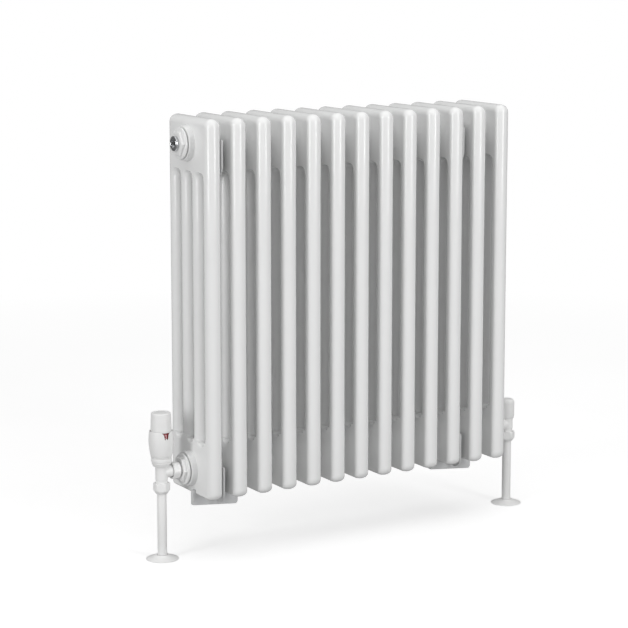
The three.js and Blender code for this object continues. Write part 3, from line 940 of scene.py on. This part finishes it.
def window_shape():
    """A shield-shaped opening, flared at the rim, with a pointer standing up in its foot."""
    foot = DRUM_LOW + 1
    half = [
        (0, foot + 2.4),
        (1.5, foot + 0.1),
        (2.5, foot),
        (3.4, foot + 2.2),
        (4.2, RIM - 5.2),
        (4.9, RIM - 3.0),
        (6.9, RIM - 1.1),
        (7.0, RIM + 2),
    ]
    outline = half + [(-x, z) for x, z in reversed(half[1:])]
    return moved(extruded(outline, WINDOW_DEPTH), Matrix.Translation((0, -19.5, 0)))


def drum_shape():
    """The band that carries the numbers."""
    return turned([
        (14.8, DRUM_LOW),
        *rounded(DRUM_RADIUS - 0.3, DRUM_LOW + 0.3, 0.3, -90, 0, 2),
        *rounded(DRUM_RADIUS - 0.3, DRUM_TOP - 0.3, 0.3, 0, 90, 2),
        (14.8, DRUM_TOP),
    ])


def dial_cap_shape():
    """A slightly tapered cap with a shallow dish in its top."""
    return turned([
        (14.4, DIAL_LOW),
        *rounded(16.3, DIAL_LOW + 0.3, 0.3, -90, 0, 2),
        (16.55, DIAL_LOW + 4),
        (16.1, DIAL_TOP - 10),
        *rounded(14.1, DIAL_TOP - 1.7, 1.7, 0, 80, 6),
        (13.4, DIAL_TOP - 0.1),
        (13.1, DIAL_TOP - 0.45),
        (12.8, DIAL_TOP - 0.35),
        (6, DIAL_TOP - 0.15),
        (0, DIAL_TOP - 0.1),
        (0, DIAL_TOP - 2.4),
        (13.6, DIAL_TOP - 2.4),
    ])


def number_shape(number):
    """A digit, bent round the drum where it faces -Y when the dial stands at that number."""
    text = bpy.data.curves.new("digit", "FONT")
    text.body = str(number)
    text.size = NUMBER_SIZE
    text.align_x = "CENTER"
    text.extrude = 0.2
    text.offset = 0.12
    text.resolution_u = 6
    holder = bpy.data.objects.new("digit", text)
    bpy.context.scene.collection.objects.link(holder)
    bpy.context.view_layer.update()
    graph = bpy.context.evaluated_depsgraph_get()
    mesh = bpy.data.meshes.new_from_object(holder.evaluated_get(graph))
    turn = math.radians((REST_NUMBER - number) * DEGREES_PER_NUMBER - 90)
    points = []
    for vert in mesh.vertices:
        angle = turn + vert.co.x / DRUM_RADIUS
        radius = DRUM_RADIUS + vert.co.z
        height = DRUM_LOW + NUMBER_FOOT + vert.co.y
        points.append((radius * math.cos(angle), radius * math.sin(angle), height))
    faces = [tuple(face.vertices) for face in mesh.polygons]
    bpy.data.objects.remove(holder)
    return points, faces


def add_thermostatic_head():
    axis = valve_axis("left")
    collar = new_object("head_collar_nut", collar_nut_shape(), axis)
    dress(collar, "white_plastic", "trv_collar_nut")
    housing = new_object("head_housing", housing_shape(), axis)
    combine(housing, window_shape(), "DIFFERENCE", axis)
    dress(housing, "white_plastic", "trv_housing")
    drum = new_object("head_number_drum", drum_shape(), axis)
    dress(drum, "dial_red", "trv_number_drum")
    shapes = [number_shape(number) for number in range(NUMBERS)]
    digits = new_object("drum_numbers", joined(*shapes), axis)
    digits.data.materials.append(NUMBER_INK)
    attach(digits, "trv_dial")
    cap = new_object("head_dial_cap", dial_cap_shape(), axis)
    dress(cap, "white_plastic", "trv_dial_cap")


# ---- Lockshield cap ----


def shield_cap_shape():
    foot, top = 10, 44
    return turned([
        (8.9, foot),
        *rounded(10.9, foot + 0.5, 0.5, -90, -10, 3),
        (12.0, foot + 3.2),
        (12.3, foot + 5),
        (12.3, top - 8),
        *rounded(5.3, top - 7, 7, 0, 90, 12),
        (0, top),
        (0, top - 2.4),
        (5.5, top - 2.6),
        (10.2, top - 7),
        (10.2, 17),
        (8.9, 15.5),
    ])


def add_lockshield_cap():
    cap = new_object("shield_cap", shield_cap_shape(), valve_axis("right"))
    dress(cap, "white_plastic", "lockshield_cap")


# ---- Wall brackets and saddles ----

CRADLE_THICKNESS = 3
CRADLE_FRONT = -49.5
CRADLE_TOP = 6.5
CRADLE_BOTTOM = -52
CRADLE_CORNER = 17
NOTCH_RADIUS = 29.8
WALL_FLANGE_WIDTH = 32
WALL_FLANGE_LOW = -44
WALL_FLANGE_TOP = 22
SCREW_HOLE_RADIUS = 4.25
HOLE_FROM_END = 12
HOLE_SIDES = 36
SADDLE_HALF = 40
SADDLE_RIM = 10
SADDLE_LEFT_FOOT = -15
SADDLE_RIGHT_FOOT = -22
SADDLE_CORNER = 5
SADDLE_THICKNESS = 8


def rounded_plate(half_width, low, high, corner, thickness):
    """An upright plate with four rounded corners."""
    top = high - corner
    bottom = low + corner
    outline = []
    for side, centre_z, start in ((1, top, 0), (-1, top, 90), (-1, bottom, 180), (1, bottom, 270)):
        outline.extend(arc(side * (half_width - corner), centre_z, corner, start, start + 90, 6))
    return extruded(outline, thickness)


def add_bracket(level, end):
    """A cradle plate that stands between two sections, bent to a flange on the wall."""
    node = f"bracket_{level}_{end}"
    low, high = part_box(node)
    hub = hub_face(end, "top" if level == "upper" else "bottom")
    place = (low.x + CRADLE_THICKNESS / 2 * MM, hub.y, hub.z)
    back = (high.y - hub.y) / MM
    outline = [
        (back - 1, CRADLE_TOP),
        *arc(0, 0, NOTCH_RADIUS, 12.6, -192.6, 40),
        *arc(CRADLE_FRONT + 2, CRADLE_TOP - 2, 2, 90, 180, 4),
        *arc(
            CRADLE_FRONT + CRADLE_CORNER, CRADLE_BOTTOM + CRADLE_CORNER,
            CRADLE_CORNER, 180, 270, 10,
        ),
        (back - 1, WALL_FLANGE_LOW + 0.5),
    ]
    cradle = moved(extruded(outline[::-1], CRADLE_THICKNESS), turned_to("Z", 90))
    bracket = new_object(f"wall_{node}", cradle, place)
    flange_x = (WALL_FLANGE_WIDTH - CRADLE_THICKNESS) / 2
    half_width = WALL_FLANGE_WIDTH / 2
    flange = rounded_plate(half_width, WALL_FLANGE_LOW, WALL_FLANGE_TOP, 1.4, CRADLE_THICKNESS)
    flange = moved(flange, Matrix.Translation((flange_x, back - CRADLE_THICKNESS / 2, 0)))
    combine(bracket, flange, "UNION", place)
    for z in (WALL_FLANGE_LOW + HOLE_FROM_END, WALL_FLANGE_TOP - HOLE_FROM_END):
        hole = moved(turned(eased_bar(SCREW_HOLE_RADIUS, -6, 6), HOLE_SIDES), turned_to("X", 90))
        hole = moved(hole, Matrix.Translation((flange_x + 2, back, z)))
        combine(bracket, hole, "DIFFERENCE", place)
    bevel(bracket, 0.5)
    dress(bracket, "bracket_steel", node)


def add_saddle(end):
    """A block under two neighbouring sections, whose underside slopes down to the right."""
    node = f"saddle_{end}"
    low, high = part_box(node)
    place = ((low.x + high.x) / 2, (low.y + high.y) / 2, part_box("section_01")[0].z)
    reach = SECTION_PITCH / 2
    notch = HEAD_RADIUS + 1.1
    corner = SADDLE_CORNER
    outline = [
        (-SADDLE_HALF, SADDLE_LEFT_FOOT),
        *arc(SADDLE_HALF - corner, SADDLE_RIGHT_FOOT + corner, corner, -90, 0, 6),
        (SADDLE_HALF, SADDLE_RIM),
        *arc(reach, HEAD_RADIUS, notch, -11.4, -168.6, 24),
        *arc(-reach, HEAD_RADIUS, notch, -11.4, -168.6, 24),
        (-SADDLE_HALF, SADDLE_RIM),
    ]
    saddle = new_object(f"head_{node}", extruded(outline, SADDLE_THICKNESS), place)
    combine(saddle, rounded_plate(1.8, -11.3, 20, 0.5, 20), "DIFFERENCE", place)
    bevel(saddle, 0.7)
    dress(saddle, "saddle_plastic", node)


def add_brackets():
    """Four wall brackets and two saddles."""
    for end, _ in ENDS:
        for level in ("upper", "lower"):
            add_bracket(level, end)
        add_saddle(end)


# ---- CAD nodes kept as they are: the pieces inside the valves ----

INNER_NODES = (
    "trv_olive",
    "trv_insert",
    "trv_pin",
    "trv_sensor",
    "lockshield_olive",
    "lockshield_gland",
    "lockshield_plug",
    "lockshield_spindle",
)


def finish_inner_pieces():
    for node in INNER_NODES:
        mesh = frame["nodes"][node].data
        mesh.materials.clear()
        mesh.materials.append(LOOKS["brass"])


# ---- Studio: lights and their places are in metres ----

FLOOR_HALF = 12000
FLOOR_GLOW = 0.55
FLOOR_DROP = 0.0002  # in metres, below the floor plates
FLOOR_BOUNCE = 0.46  # how much light the floor throws upwards
FADE_START = 0.6  # in metres from the middle of the floor, where it begins to turn white
FADE_END = 2.4
WORLD_LIGHT = 0.28
STRIP_AZIMUTHS = {"strip_left": -75, "strip_right": 15}
STRIP_DISTANCE = 3.2
STRIP_HEIGHT = 1.18
STRIP_SIZE = (0.8, 2.1)
STRIP_RADIANCE = 7.5
OVERHEAD_PLACE = (0, -0.8, 3.2)
OVERHEAD_TARGET = (0, -0.8, 0)
OVERHEAD_SIZE = (5, 5)
OVERHEAD_RADIANCE = 1.0


def add_floor():
    """A pale floor that melts into the white background. It throws less light upwards than it shows."""
    material, shader = new_material("pale_floor", (0.6, 0.6, 0.6), 0.9, specular=0.1)
    tree = material.node_tree
    shade = spread(material, noise(material, 3), 0.0, 1.0)
    colour = tint(material, shade, (0.59, 0.59, 0.59), (0.61, 0.61, 0.61))
    tree.links.new(colour, shader.inputs["Base Color"])
    shader.inputs["Emission Color"].default_value = (1, 1, 1, 1)
    shader.inputs["Emission Strength"].default_value = FLOOR_GLOW
    coordinates = tree.nodes.new("ShaderNodeTexCoord")
    distance = tree.nodes.new("ShaderNodeVectorMath")
    distance.operation = "LENGTH"
    tree.links.new(coordinates.outputs["Object"], distance.inputs[0])
    fade = spread(material, distance.outputs["Value"], 0.0, 1.0, FADE_START, FADE_END)
    seen = tree.nodes.new("ShaderNodeMixShader")
    tree.links.new(fade, seen.inputs["Fac"])
    tree.links.new(shader.outputs["BSDF"], seen.inputs[1])
    tree.links.new(tree.nodes.new("ShaderNodeEmission").outputs["Emission"], seen.inputs[2])
    bounce = tree.nodes.new("ShaderNodeBsdfDiffuse")
    bounce.inputs["Color"].default_value = (FLOOR_BOUNCE, FLOOR_BOUNCE, FLOOR_BOUNCE, 1)
    path = tree.nodes.new("ShaderNodeLightPath")
    mix = tree.nodes.new("ShaderNodeMixShader")
    tree.links.new(path.outputs["Is Camera Ray"], mix.inputs["Fac"])
    tree.links.new(bounce.outputs["BSDF"], mix.inputs[1])
    tree.links.new(seen.outputs["Shader"], mix.inputs[2])
    tree.links.new(mix.outputs["Shader"], tree.nodes["Material Output"].inputs["Surface"])
    half = FLOOR_HALF
    corners = [(-half, -half, 0), (half, -half, 0), (half, half, 0), (-half, half, 0)]
    floor = new_object("floor", (corners, [(0, 1, 2, 3)]), (0, 0, -FLOOR_DROP))
    floor.data.materials.append(material)


def add_light(name, place, target, size, radiance):
    """A rectangular softbox that looks as bright as radiance, where 1 is white."""
    data = bpy.data.lights.new(name, "AREA")
    data.shape = "RECTANGLE"
    data.size, data.size_y = size
    data.energy = math.pi * radiance * size[0] * size[1]
    light = bpy.data.objects.new(name, data)
    light.location = place
    light.rotation_euler = (Vector(target) - Vector(place)).to_track_quat("-Z", "Y").to_euler()
    bpy.context.scene.collection.objects.link(light)


def around(azimuth, distance, height):
    """A place round the radiator. Azimuth 0 is straight in front, and turns towards +X."""
    angle = math.radians(azimuth)
    return (distance * math.sin(angle), -distance * math.cos(angle), height)


def add_lights():
    """Two bright upright strips, which draw a thin line each down every tube, and a wide soft box above."""
    target = (0, 0, STRIP_HEIGHT)
    for name, azimuth in STRIP_AZIMUTHS.items():
        place = around(azimuth, STRIP_DISTANCE, STRIP_HEIGHT)
        add_light(name, place, target, STRIP_SIZE, STRIP_RADIANCE)
    add_light("overhead", OVERHEAD_PLACE, OVERHEAD_TARGET, OVERHEAD_SIZE, OVERHEAD_RADIANCE)


def add_world():
    """White as the camera sees it, and a softer grey as a light."""
    world = bpy.data.worlds.new("studio")
    bpy.context.scene.world = world
    world.use_nodes = True
    tree = world.node_tree
    tree.nodes.clear()
    seen = tree.nodes.new("ShaderNodeBackground")
    seen.inputs["Color"].default_value = (1, 1, 1, 1)
    lit = tree.nodes.new("ShaderNodeBackground")
    lit.inputs["Color"].default_value = (1, 1, 1, 1)
    lit.inputs["Strength"].default_value = WORLD_LIGHT
    path = tree.nodes.new("ShaderNodeLightPath")
    mix = tree.nodes.new("ShaderNodeMixShader")
    output = tree.nodes.new("ShaderNodeOutputWorld")
    tree.links.new(path.outputs["Is Camera Ray"], mix.inputs["Fac"])
    tree.links.new(lit.outputs["Background"], mix.inputs[1])
    tree.links.new(seen.outputs["Background"], mix.inputs[2])
    tree.links.new(mix.outputs["Shader"], output.inputs["Surface"])
    bpy.context.scene.view_settings.view_transform = "Standard"


add_camera()
add_world()
add_floor()
add_lights()
add_sections()
add_hub_fittings()
add_valve_base("trv", "left", -1, TRV_FOOT)
add_valve_base("lockshield", "right", 1, LOCKSHIELD_FOOT)
add_thermostatic_head()
add_lockshield_cap()
add_brackets()
finish_inner_pieces()
